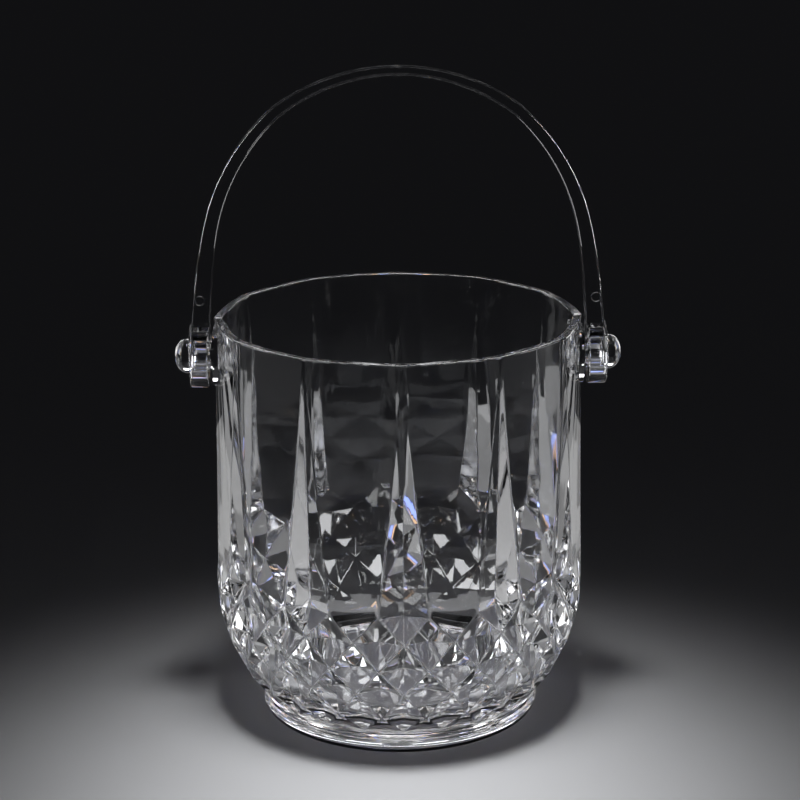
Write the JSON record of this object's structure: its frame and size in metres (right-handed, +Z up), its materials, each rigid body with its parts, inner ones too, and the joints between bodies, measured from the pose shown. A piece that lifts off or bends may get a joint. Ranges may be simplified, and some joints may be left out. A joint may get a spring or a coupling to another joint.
{
  "type": "ice bucket",
  "caption": "Clear cut-pattern plastic ice bucket, twelve-sided above a belly of diamond cuts, with a swinging arched handle held by two domed knobs.",
  "frame": {"origin": "centre of the foot ring, on the surface the bucket stands on", "axes": "+X along the handle's pivot axis, +Z up, +Y to the back; the handle stands upright at rest"},
  "size_m": [0.1586, 0.134, 0.2334],
  "materials": {
    "bucket_clear": "clear, polished, cut pattern",
    "handle_clear": "clear, polished",
    "knob_clear": "clear, polished"
  },
  "bodies": {
    "bucket": {"bucket": "bucket_clear", "knob_left": "knob_clear", "knob_right": "knob_clear"},
    "handle": {"handle": "handle_clear"}
  },
  "joints": [
    {"name": "handle_swing", "type": "hinge", "parent": "bucket", "child": "handle", "pos_m": [0, 0, 0.1314], "axis": [1, 0, 0], "range_deg": [-131, 131]}
  ]
}
